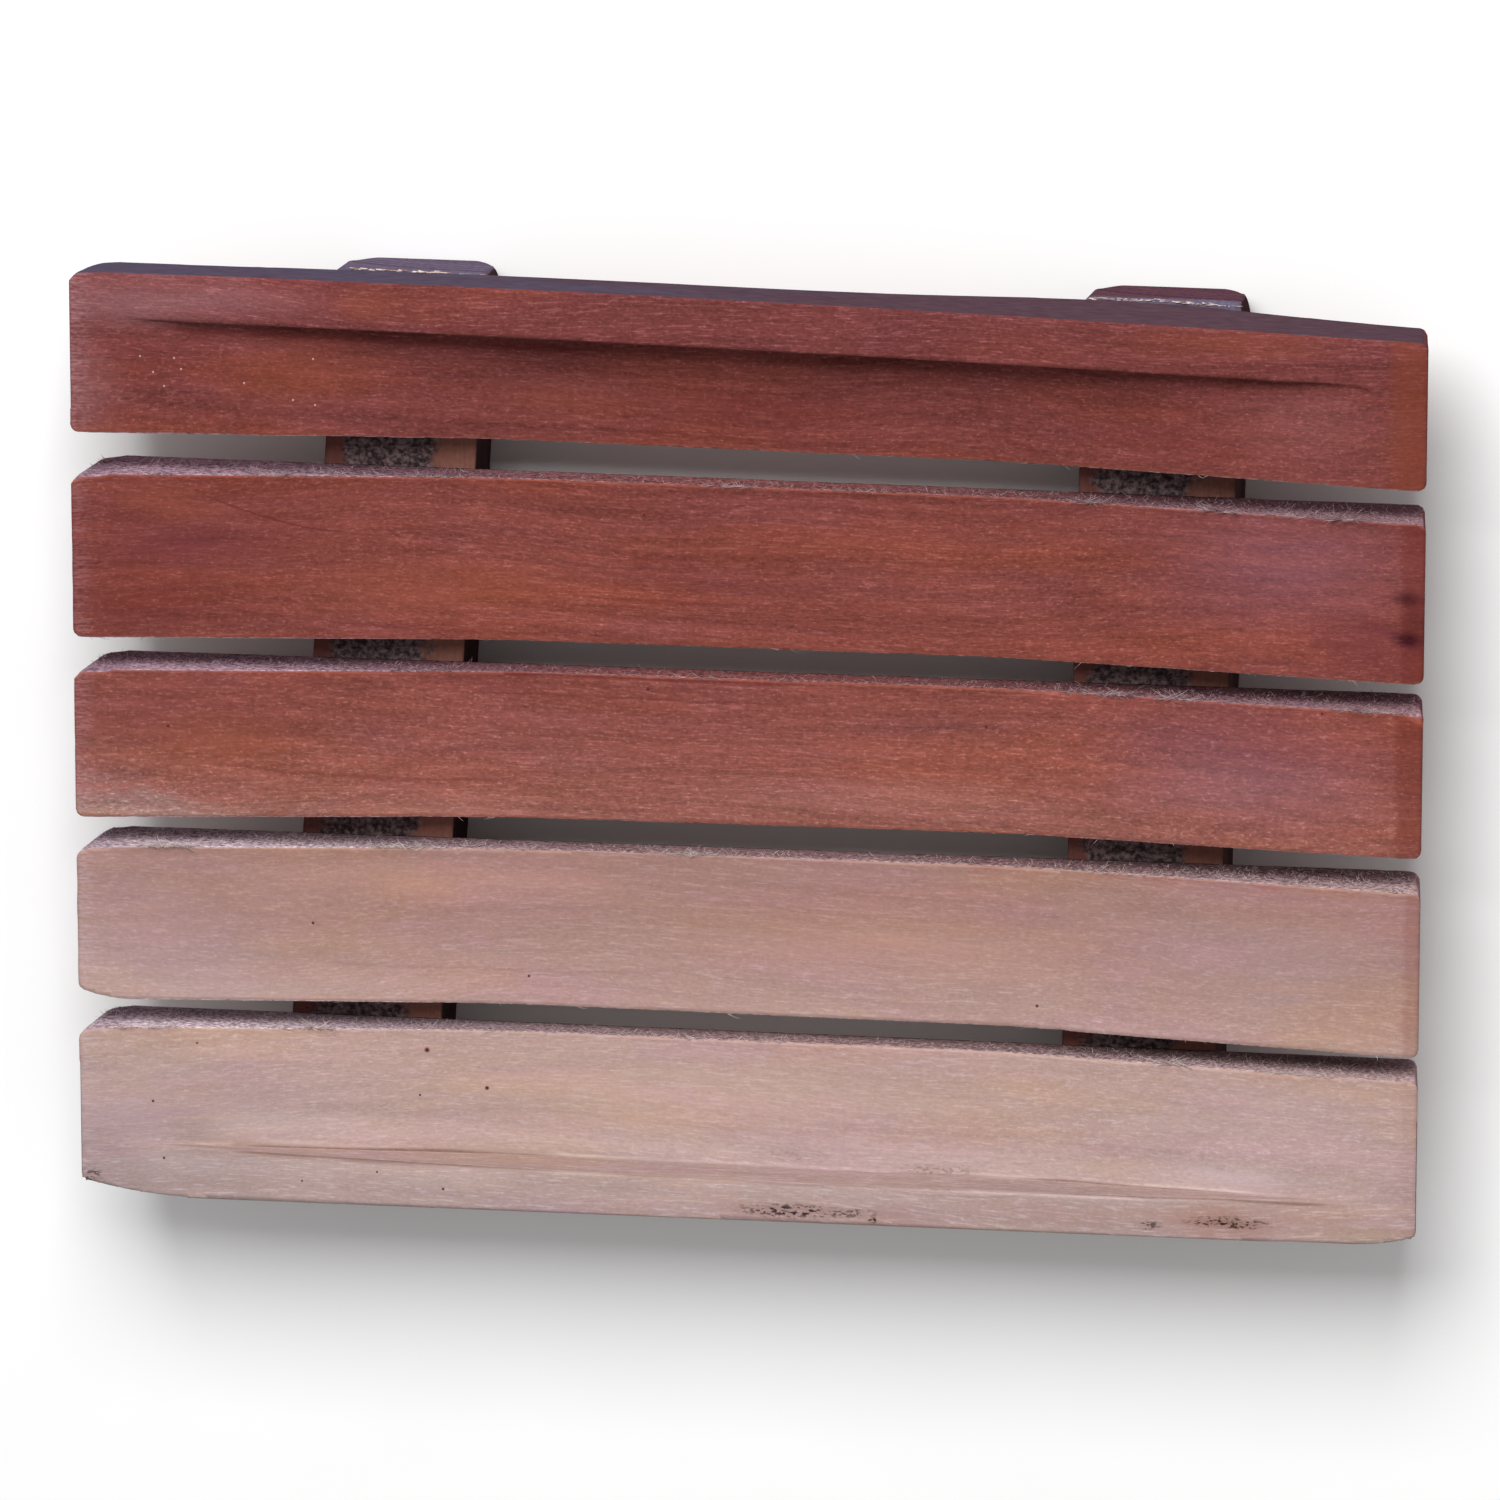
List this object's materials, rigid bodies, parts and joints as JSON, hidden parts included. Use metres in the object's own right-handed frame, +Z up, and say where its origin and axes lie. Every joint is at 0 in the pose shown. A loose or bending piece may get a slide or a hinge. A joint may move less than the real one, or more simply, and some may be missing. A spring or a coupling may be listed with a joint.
{
  "type": "soap dish",
  "caption": "Rectangular slatted wooden soap dish: long slats pinned and glued on cross rails, with one shallow ramped basin cut across their tops and draining gaps between them.",
  "frame": {"origin": "centre of the footprint, on the surface that the rails stand on", "axes": "+X along the slats, +Y across the slats towards the back slat, +Z up"},
  "size_m": [0.12, 0.0844, 0.016],
  "materials": {
    "heartwood": "reddish-brown heartwood, sanded smooth on top, sawn and furry in the gaps",
    "sapwood": "pale pinkish-tan sapwood, sanded smooth on top, sawn and furry in the gaps",
    "rail_wood": "darker brown wood, smooth sides and rough sawn top",
    "pin_wood": "plain turned hardwood, end grain showing below"
  },
  "bodies": {
    "root": {"slat_1": "heartwood", "slat_2": "heartwood", "slat_3": "heartwood", "slat_4": "sapwood", "slat_5": "sapwood", "left_rail": "rail_wood", "right_rail": "rail_wood", "pin_1_left": "pin_wood", "pin_1_right": "pin_wood", "pin_2_left": "pin_wood", "pin_2_right": "pin_wood", "pin_3_left": "pin_wood", "pin_3_right": "pin_wood", "pin_4_left": "pin_wood", "pin_4_right": "pin_wood", "pin_5_left": "pin_wood", "pin_5_right": "pin_wood"}
  },
  "joints": []
}
